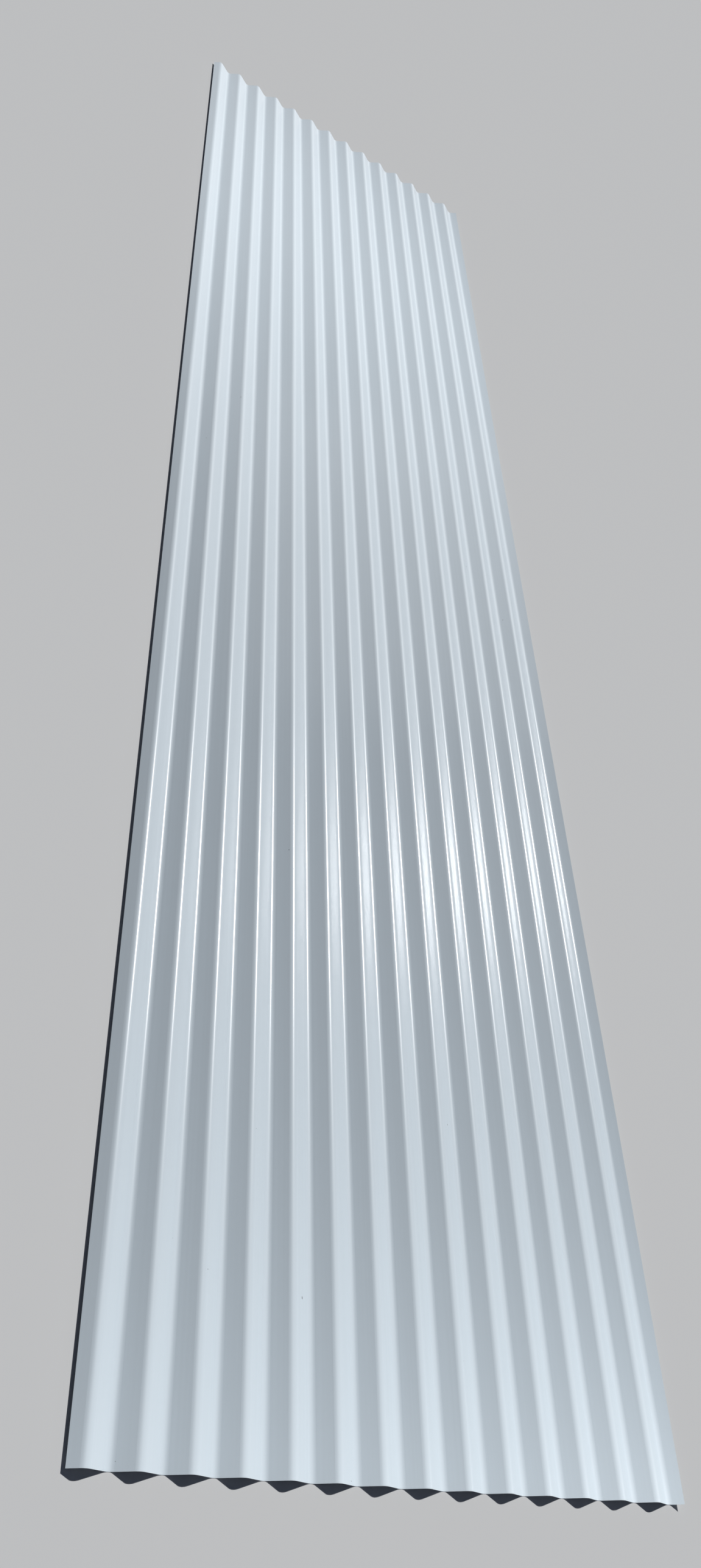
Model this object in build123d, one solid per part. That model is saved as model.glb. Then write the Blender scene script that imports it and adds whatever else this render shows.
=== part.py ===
from build123d import *
import os
from math import asin, atan2, cos, degrees, hypot, sin

# One rolled sheet of corrugated roofing steel, lying flat.
# X runs across the corrugations, Y along them and Z up. The origin is the middle
# of the sheet's footprint, at the height of the troughs' underside.

# Driving dimensions, in millimetres
pitch = 76.2           # from crest to crest, 3 in
depth = 17.0           # from the troughs' underside to the crests' top
gauge = 0.6            # the steel with its coats
bend_radius = 15.0     # on the hollow side of every crest and trough
length = 4465.0        # as cut
waves = 14             # whole waves, each a crest and the trough to its right
left_flank = 17.8      # straight run between the left side edge and the first crest's bend
right_flank = 20.9     # straight run between the last trough's bend and the right side edge

# The middle of the gauge runs in arcs of one radius joined by straight flanks.
# A flank is the line that touches a crest's circle from above and a trough's from below.
middle_radius = bend_radius + gauge / 2
half_pitch = pitch / 2
middle_rise = depth - gauge
circle_drop = 2 * middle_radius - middle_rise
circle_distance = hypot(half_pitch, circle_drop)
flank_angle = asin(2 * middle_radius / circle_distance) - atan2(circle_drop, half_pitch)


def bend_centre(number):
    """The centre of a bend's circle: even numbers are crests, odd ones are troughs."""
    side = 1 if number % 2 == 0 else -1
    return Vector(number * half_pitch, depth / 2 + side * (middle_rise / 2 - middle_radius))


def bend(number, offset):
    """One crest or trough, left to right, on a face that lies this far above the middle."""
    centre = bend_centre(number)
    if number % 2 == 0:
        radius = middle_radius + offset
        start = 90 + degrees(flank_angle)
        return CenterArc(centre, radius, start, -2 * degrees(flank_angle))
    radius = middle_radius - offset
    start = 270 - degrees(flank_angle)
    return CenterArc(centre, radius, start, 2 * degrees(flank_angle))


def face_line(offset):
    """The whole wavy line of one face, from side edge to side edge."""
    uphill = Vector(cos(flank_angle), sin(flank_angle))
    bends = [bend(number, offset) for number in range(2 * waves)]
    first = bends[0] @ 0
    last = bends[-1] @ 1
    edges = [Line(first - uphill * left_flank, first)]
    for before, after in zip(bends, bends[1:]):
        edges += [before, Line(before @ 1, after @ 0)]
    edges += [bends[-1], Line(last, last + uphill * right_flank)]
    return edges


def sheet_section():
    """The rolled section: an upper and a lower face, closed by the two slit side edges."""
    upper = face_line(gauge / 2)
    lower = face_line(-gauge / 2)
    left_edge = Line(lower[0] @ 0, upper[0] @ 0)
    right_edge = Line(upper[-1] @ 1, lower[-1] @ 1)
    outline = Wire(upper + lower + [left_edge, right_edge])
    return Plane.XZ * Face(outline)


def corrugated_sheet():
    """The section run out to the cut length and centred on the origin."""
    sheet = extrude(sheet_section(), amount=length / 2, both=True)
    box = sheet.bounding_box()
    sheet = Pos(-box.center().X, 0, 0) * sheet
    sheet.label = "corrugated_sheet"
    return sheet


os.makedirs("parts", exist_ok=True)
sheet = corrugated_sheet()
export_step(sheet, "parts/corrugated_sheet.step")
box = sheet.bounding_box()
print(f"width {box.size.X:.2f}  length {box.size.Y:.2f}  height {box.size.Z:.2f}")
print(f"flanks at {degrees(flank_angle):.2f} degrees")
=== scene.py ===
from math import cos, radians, sin

import bpy
from mathutils import Euler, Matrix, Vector


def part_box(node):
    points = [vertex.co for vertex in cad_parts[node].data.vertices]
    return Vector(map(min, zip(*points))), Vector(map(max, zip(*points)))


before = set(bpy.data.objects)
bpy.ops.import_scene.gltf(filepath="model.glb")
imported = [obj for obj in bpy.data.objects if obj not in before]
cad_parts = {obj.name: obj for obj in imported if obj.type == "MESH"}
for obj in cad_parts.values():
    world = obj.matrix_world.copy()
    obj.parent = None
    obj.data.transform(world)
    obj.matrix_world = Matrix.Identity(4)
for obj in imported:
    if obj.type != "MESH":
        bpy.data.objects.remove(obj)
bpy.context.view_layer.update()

# Dresses a rolled sheet of coated corrugated steel that lies on a floor, and sets the light
# and the camera. X runs across the corrugations, Y along them and Z up, in metres.

bl_info = {
    "name": "Corrugated Steel Sheet",
    "version": (1, 0, 0),
    "blender": (4, 5, 0),
    "location": "3D View > Sidebar > Steel Sheet",
    "description": "Finishes a coated corrugated steel sheet and sets a studio round it",
    "category": "Object",
}

sheet_node = "corrugated_sheet"
sheet_low, sheet_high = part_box(sheet_node)
half_length = (sheet_high.y - sheet_low.y) / 2

# Noise features a metre: across the sheet, along it and up through it
streak_rates = (240.0, 0.9, 0.0)
grain_rates = (900.0, 900.0, 900.0)
wave_rates = (9.0, 5.0, 0.0)
cloud_rates = (4.0, 1.5, 0.0)
grit_rates = (170.0, 170.0, 170.0)

# The flanks slope at under 30 degrees, so only the cut faces look this much sideways or along.
cut_facing = 0.7

cloud_share = 0.6        # how much of the streaks' change of lightness the broad clouds make
back_streak_share = 2.0  # how much more the streaks show in the back coat
streak_roughness = 0.03  # how far the streaks change the roughness
lacquer_ior = 1.5

# Grit lies where its noise passes these two levels, and more of it near the cut ends.
grit_start, grit_full = 0.86, 0.92
end_reach = 0.015
end_grit = 0.2

# A direction's height, from 0 level to 1 straight up, where the backdrop starts to turn into the
# ceiling and where it has turned.
backdrop_top, ceiling_start = 0.1, 0.75

key_distance = 6.0       # only where the lamp's mark stands: a sun lamp shines the same everywhere
film_long_side = 36.0    # in millimetres
nearest_seen, farthest_seen = 0.05, 1000.0


class Signal:
    """A node's output socket. Arithmetic on it adds Math nodes beside that node."""

    def __init__(self, shader, socket):
        self.shader = shader
        self.socket = socket

    def maths(self, operation, *values):
        inputs = dict(enumerate((self, *values)))
        return self.shader.node("ShaderNodeMath", {"operation": operation}, inputs)

    def reflected(self, operation, value):
        return self.shader.node("ShaderNodeMath", {"operation": operation}, {0: value, 1: self})

    def __add__(self, other):
        return self.maths("ADD", other)

    def __radd__(self, other):
        return self.reflected("ADD", other)

    def __sub__(self, other):
        return self.maths("SUBTRACT", other)

    def __rsub__(self, other):
        return self.reflected("SUBTRACT", other)

    def __mul__(self, other):
        return self.maths("MULTIPLY", other)

    def __rmul__(self, other):
        return self.reflected("MULTIPLY", other)

    def __gt__(self, other):
        return self.maths("GREATER_THAN", other)

    def __lt__(self, other):
        return self.maths("LESS_THAN", other)

    def __abs__(self):
        return self.maths("ABSOLUTE")

    def larger(self, other):
        return self.maths("MAXIMUM", other)


class Shader:
    """The node tree of one material or of the world."""

    def __init__(self, owner):
        owner.use_nodes = True
        self.tree = owner.node_tree
        self.tree.nodes.clear()

    def node(self, kind, settings=None, inputs=None, output=0):
        """Adds a node, sets it up and fills its sockets. Returns one output, if it has any."""
        made = self.tree.nodes.new(kind)
        for name, value in (settings or {}).items():
            setattr(made, name, value)
        for name, value in (inputs or {}).items():
            if isinstance(value, Signal):
                self.tree.links.new(value.socket, made.inputs[name])
            else:
                made.inputs[name].default_value = value
        return Signal(self, made.outputs[output]) if made.outputs else None

    def blend(self, factor, first, second):
        """The first colour where factor is 0 and the second where it is 1."""
        settings = {"data_type": "RGBA", "clamp_factor": True}
        return self.node("ShaderNodeMix", settings, {0: factor, 6: first, 7: second}, output=2)

    def stretched(self, place, rates):
        """The place, with each axis multiplied by its own number of features a metre."""
        inputs = {0: place, 1: rates}
        return self.node("ShaderNodeVectorMath", {"operation": "MULTIPLY"}, inputs)

    def noise(self, place, rates, detail):
        """Soft noise round 0, about from -1 to 1."""
        vector = self.stretched(place, rates)
        inputs = {"Vector": vector, "Scale": 1.0, "Detail": detail, "Roughness": 0.5}
        found = self.node("ShaderNodeTexNoise", {"noise_dimensions": "3D"}, inputs)
        return (found - 0.5) * 2.0

    def ramp(self, value, start, end):
        """0 up to start, 1 from end, and smooth between them."""
        inputs = {"Value": value, "From Min": start, "From Max": end}
        return self.node("ShaderNodeMapRange", {"interpolation_type": "SMOOTHSTEP"}, inputs)

    def lightness(self, colour, factor):
        """One colour, made lighter or darker over the surface."""
        inputs = {"Value": factor, "Color": opaque(colour)}
        return self.node("ShaderNodeHueSaturation", inputs=inputs)

    def split(self, vector):
        """The three parts of a vector."""
        first = self.node("ShaderNodeSeparateXYZ", inputs={0: vector})
        return [Signal(self, socket) for socket in first.socket.node.outputs]


def opaque(colour):
    return (*colour, 1.0)


def colour_property(name, description, default):
    return bpy.props.FloatVectorProperty(
        name=name,
        description=description,
        default=default,
        subtype="COLOR",
        size=3,
        min=0.0,
        max=1.0,
    )


def share_property(name, description, default):
    return bpy.props.FloatProperty(
        name=name, description=description, default=default, subtype="FACTOR", min=0.0, max=1.0
    )


def length_property(name, description, default):
    return bpy.props.FloatProperty(
        name=name,
        description=description,
        default=default,
        subtype="DISTANCE",
        unit="LENGTH",
        min=0.0,
    )


def angle_property(name, description, default):
    return bpy.props.FloatProperty(
        name=name,
        description=description,
        default=radians(default),
        subtype="ANGLE",
        unit="ROTATION",
    )


def strength_property(name, description, default):
    return bpy.props.FloatProperty(name=name, description=description, default=default, min=0.0)


def place_property(name, description, default):
    return bpy.props.FloatVectorProperty(
        name=name, description=description, default=default, subtype="XYZ_LENGTH", unit="LENGTH"
    )


def turn_property(name, description, default):
    return bpy.props.FloatVectorProperty(
        name=name,
        description=description,
        default=[radians(angle) for angle in default],
        subtype="EULER",
        unit="ROTATION",
    )


def sides_property(name, description, default):
    return bpy.props.FloatVectorProperty(
        name=name, description=description, default=default, size=2, min=0.0, unit="LENGTH"
    )


class SheetFinish(bpy.types.PropertyGroup):
    """The coats and the steel of the sheet."""

    coat_colour: colour_property("Coat", "Colour of the upper coat", (0.535, 0.60, 0.645))
    back_colour: colour_property(
        "Back coat", "Colour of the thin coat underneath", (0.50, 0.53, 0.55)
    )
    steel_colour: colour_property(
        "Bare steel", "Colour of the steel at the cut edges", (0.52, 0.53, 0.54)
    )
    grit_colour: colour_property("Grit", "Colour of the small specks of grit", (0.07, 0.07, 0.07))
    coat_roughness: share_property("Coat roughness", "Roughness of the upper coat", 0.6)
    back_roughness: share_property("Back roughness", "Roughness of the coat underneath", 0.6)
    steel_roughness: share_property("Steel roughness", "Roughness of the cut edges", 0.45)
    flake: share_property("Flake", "Share of metal flake in the upper coat", 0.05)
    gloss: share_property("Gloss", "Share of the sharper shine that lies over the coat", 0.65)
    gloss_roughness: share_property("Gloss roughness", "Roughness of the sharper shine", 0.21)
    streaks: share_property("Roll streaks", "How far the streaks change the lightness", 0.03)
    grain_height: length_property("Grain", "Height of the coat's fine grain", 0.000004)
    streak_height: length_property("Streak height", "Height of the roll streaks", 0.000003)
    wave_height: length_property("Waviness", "Height of the slow waves along the sheet", 0.0002)


class SheetStage(bpy.types.PropertyGroup):
    """The floor, the light and the camera."""

    floor_size: length_property("Floor", "Length of each side of the floor", 400.0)
    floor_colour: colour_property("Floor colour", "Colour of the floor", (0.78, 0.78, 0.77))
    backdrop_colour: colour_property("Backdrop", "Colour behind the floor", (0.93, 0.96, 1.00))
    ceiling_colour: colour_property(
        "Ceiling", "Colour overhead, as a shine shows it", (0.20, 0.22, 0.25)
    )
    fill_colour: colour_property(
        "Fill", "Colour of the soft light from all round", (0.036, 0.044, 0.064)
    )
    key_strength: strength_property("Key", "Main lamp, in watts a square metre", 2.65)
    key_softness: angle_property("Key softness", "Width of the main lamp as the sheet sees it", 2.0)
    key_bearing: angle_property(
        "Key bearing", "Where the main lamp stands, clockwise from +Y", 36.2
    )
    key_height: angle_property("Key height", "How high the main lamp stands over the floor", 47.3)
    near_power: strength_property("Near panel", "Soft lamp beside the near end, in watts", 11.8)
    near_place: place_property(
        "Near place", "Where the soft lamp beside the near end hangs", (0.3, -2.66, 0.6)
    )
    near_size: sides_property(
        "Near size", "Width and depth of the soft lamp beside the near end", (3.6, 0.4)
    )
    far_power: strength_property("Far panel", "Soft lamp over the far half, in watts", 13.5)
    far_place: place_property(
        "Far place", "Where the soft lamp over the far half hangs", (-0.1, 1.55, 1.3)
    )
    far_size: sides_property(
        "Far size", "Width and depth of the soft lamp over the far half", (2.0, 2.0)
    )
    camera_place: place_property(
        "Camera place", "Where the camera is held", (-1.1347, -2.4850, 1.6485)
    )
    camera_turn: turn_property(
        "Camera turn", "How the camera is turned", (39.407, -31.687, -1.993)
    )
    lens: bpy.props.FloatProperty(
        name="Lens",
        description="Focal length on a 36 mm long side",
        default=26.88,
        min=1.0,
        unit="CAMERA",
    )


def coated_steel(finish):
    """One material for the whole sheet: coat above, back coat below, bare steel where it is cut."""
    material = bpy.data.materials.new("coated_steel")
    shader = Shader(material)
    place = shader.node("ShaderNodeTexCoord", output="Object")
    facing = shader.split(shader.node("ShaderNodeTexCoord", output="Normal"))
    along = shader.split(place)[1]

    cut = abs(facing[0]).larger(abs(facing[1])) > cut_facing
    under = facing[2] < 0.0
    coated = (1.0 - cut) * (1.0 - under)

    streaks = shader.noise(place, streak_rates, detail=3.0)
    grain = shader.noise(place, grain_rates, detail=1.0)
    waves = shader.noise(place, wave_rates, detail=1.0)
    clouds = shader.noise(place, cloud_rates, detail=2.0)
    specks = shader.noise(place, grit_rates, detail=0.0)
    by_the_end = shader.ramp(abs(along), half_length - end_reach, half_length)
    grit = shader.ramp(specks + by_the_end * end_grit, grit_start, grit_full)

    shade = 1.0 + streaks * finish.streaks + clouds * (finish.streaks * cloud_share)
    back_shade = 1.0 + streaks * (finish.streaks * back_streak_share)
    coat = shader.blend(
        grit, shader.lightness(finish.coat_colour, shade), opaque(finish.grit_colour)
    )
    back = shader.lightness(finish.back_colour, back_shade)
    colour = shader.blend(cut, shader.blend(under, coat, back), opaque(finish.steel_colour))

    roughness = (
        finish.coat_roughness
        + streaks * streak_roughness
        + under * (finish.back_roughness - finish.coat_roughness)
        + cut * (finish.steel_roughness - finish.coat_roughness)
    )
    height = (
        grain * finish.grain_height + streaks * finish.streak_height + waves * finish.wave_height
    )
    normal = shader.node(
        "ShaderNodeBump", inputs={"Strength": 1.0, "Distance": 1.0, "Height": height}
    )
    surface = shader.node(
        "ShaderNodeBsdfPrincipled",
        inputs={
            "Base Color": colour,
            "Roughness": roughness,
            "Metallic": cut.larger(coated * finish.flake),
            "IOR": lacquer_ior,
            "Coat Weight": coated * finish.gloss,
            "Coat Roughness": finish.gloss_roughness,
            "Normal": normal,
        },
    )
    shader.node("ShaderNodeOutputMaterial", inputs={"Surface": surface})
    return material


class SHEET_OT_finish(bpy.types.Operator):
    """Give the sheet its coat, its back coat and its cut edges"""

    bl_idname = "steel_sheet.finish"
    bl_label = "Finish Sheet"

    def execute(self, context):
        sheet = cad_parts[sheet_node]
        if not sheet.material_slots:
            raise RuntimeError("the sheet has no material slot")
        material = coated_steel(context.scene.sheet_finish)
        for material_slot in sheet.material_slots:
            material_slot.material = material
        return {"FINISHED"}


def floor_paint(colour):
    """A dull plain finish."""
    material = bpy.data.materials.new("floor_paint")
    shader = Shader(material)
    surface = shader.node("ShaderNodeBsdfDiffuse", inputs={"Color": opaque(colour)})
    shader.node("ShaderNodeOutputMaterial", inputs={"Surface": surface})
    return material


def lay_floor(stage):
    half = stage.floor_size / 2
    corners = [(-half, -half, 0.0), (half, -half, 0.0), (half, half, 0.0), (-half, half, 0.0)]
    mesh = bpy.data.meshes.new("floor")
    mesh.from_pydata(corners, [], [(0, 1, 2, 3)])
    mesh.materials.append(floor_paint(stage.floor_colour))
    floor = bpy.data.objects.new("floor", mesh)
    bpy.context.scene.collection.objects.link(floor)
    return floor


def hang_key(stage):
    """The main lamp. It shines along its own -Z, so its +Z looks back to where it stands."""
    level = cos(stage.key_height)
    towards = Vector(
        (level * sin(stage.key_bearing), level * cos(stage.key_bearing), sin(stage.key_height))
    )
    lamp = bpy.data.lights.new("key", "SUN")
    lamp.energy = stage.key_strength
    lamp.angle = stage.key_softness
    key = bpy.data.objects.new("key", lamp)
    key.rotation_mode = "QUATERNION"
    key.rotation_quaternion = towards.to_track_quat("Z", "Y")
    key.location = towards * key_distance
    bpy.context.scene.collection.objects.link(key)


def all_but(left_out):
    """A collection that keeps a lamp's light off one object, so that it stays one plain tone."""
    collection = bpy.data.collections.new("all_but_" + left_out.name)
    collection.objects.link(left_out)
    collection.collection_objects[0].light_linking.link_state = "EXCLUDE"
    return collection


def hang_panel(name, place, target, size, power, lights_up):
    """A soft flat lamp that faces its target and isn't itself in the picture."""
    lamp = bpy.data.lights.new(name, "AREA")
    lamp.shape = "RECTANGLE"
    lamp.size, lamp.size_y = size
    lamp.energy = power
    panel = bpy.data.objects.new(name, lamp)
    panel.location = place
    panel.rotation_mode = "QUATERNION"
    panel.rotation_quaternion = (Vector(place) - target).to_track_quat("Z", "Y")
    panel.visible_camera = False
    panel.light_linking.receiver_collection = lights_up
    bpy.context.scene.collection.objects.link(panel)


def hang_panels(stage, lights_up):
    """The near panel leans in over the near end, and the far panel looks straight down."""
    near_end = Vector((stage.near_place[0] / 2, sheet_low.y, 0.0))
    hang_panel(
        "near_panel", stage.near_place, near_end, stage.near_size, stage.near_power, lights_up
    )
    below_far_panel = Vector((stage.far_place[0], stage.far_place[1], 0.0))
    hang_panel(
        "far_panel", stage.far_place, below_far_panel, stage.far_size, stage.far_power, lights_up
    )


def fill_world(stage):
    """Soft light from all round. A camera, a shine or a clear thing sees the backdrop instead."""
    world = bpy.data.worlds.new("studio")
    bpy.context.scene.world = world
    shader = Shader(world)
    height = shader.split(shader.node("ShaderNodeTexCoord", output="Generated"))[2]
    backdrop = shader.blend(
        shader.ramp(height, backdrop_top, ceiling_start),
        opaque(stage.backdrop_colour),
        opaque(stage.ceiling_colour),
    )
    seen = shader.node("ShaderNodeLightPath", output="Is Camera Ray")
    for kind in ("Is Glossy Ray", "Is Transmission Ray"):
        seen = seen.larger(shader.node("ShaderNodeLightPath", output=kind))
    colour = shader.blend(seen, opaque(stage.fill_colour), backdrop)
    glow = shader.node("ShaderNodeBackground", inputs={"Color": colour, "Strength": 1.0})
    shader.node("ShaderNodeOutputWorld", inputs={"Surface": glow})


def hold_camera(stage):
    lens = bpy.data.cameras.new("camera")
    lens.lens = stage.lens
    lens.sensor_width = film_long_side
    lens.clip_start = nearest_seen
    lens.clip_end = farthest_seen
    camera = bpy.data.objects.new("camera", lens)
    camera.location = stage.camera_place
    camera.rotation_euler = Euler(stage.camera_turn, "XYZ")
    bpy.context.scene.collection.objects.link(camera)
    bpy.context.scene.camera = camera


class SHEET_OT_stage(bpy.types.Operator):
    """Set the floor, the lamps, the soft light and the camera round the sheet"""

    bl_idname = "steel_sheet.stage"
    bl_label = "Set Stage"

    def execute(self, context):
        stage = context.scene.sheet_stage
        floor = lay_floor(stage)
        hang_key(stage)
        hang_panels(stage, all_but(floor))
        fill_world(stage)
        hold_camera(stage)
        context.scene.view_settings.view_transform = "Standard"
        return {"FINISHED"}


class SHEET_PT_tools(bpy.types.Panel):
    """The steps that dress the sheet, with their settings"""

    bl_label = "Steel Sheet"
    bl_idname = "SHEET_PT_tools"
    bl_space_type = "VIEW_3D"
    bl_region_type = "UI"
    bl_category = "Steel Sheet"

    def draw(self, context):
        steps = (
            (SHEET_OT_finish, context.scene.sheet_finish),
            (SHEET_OT_stage, context.scene.sheet_stage),
        )
        for step, settings in steps:
            box = self.layout.box()
            box.operator(step.bl_idname)
            for name in settings.bl_rna.properties.keys():
                if name not in ("rna_type", "name"):
                    box.prop(settings, name)


classes = (SheetFinish, SheetStage, SHEET_OT_finish, SHEET_OT_stage, SHEET_PT_tools)


def register():
    for cls in classes:
        bpy.utils.register_class(cls)
    bpy.types.Scene.sheet_finish = bpy.props.PointerProperty(type=SheetFinish)
    bpy.types.Scene.sheet_stage = bpy.props.PointerProperty(type=SheetStage)


def unregister():
    del bpy.types.Scene.sheet_stage
    del bpy.types.Scene.sheet_finish
    for cls in reversed(classes):
        bpy.utils.unregister_class(cls)


def main():
    register()
    bpy.ops.steel_sheet.finish()
    bpy.ops.steel_sheet.stage()


if __name__ == "__main__":
    main()
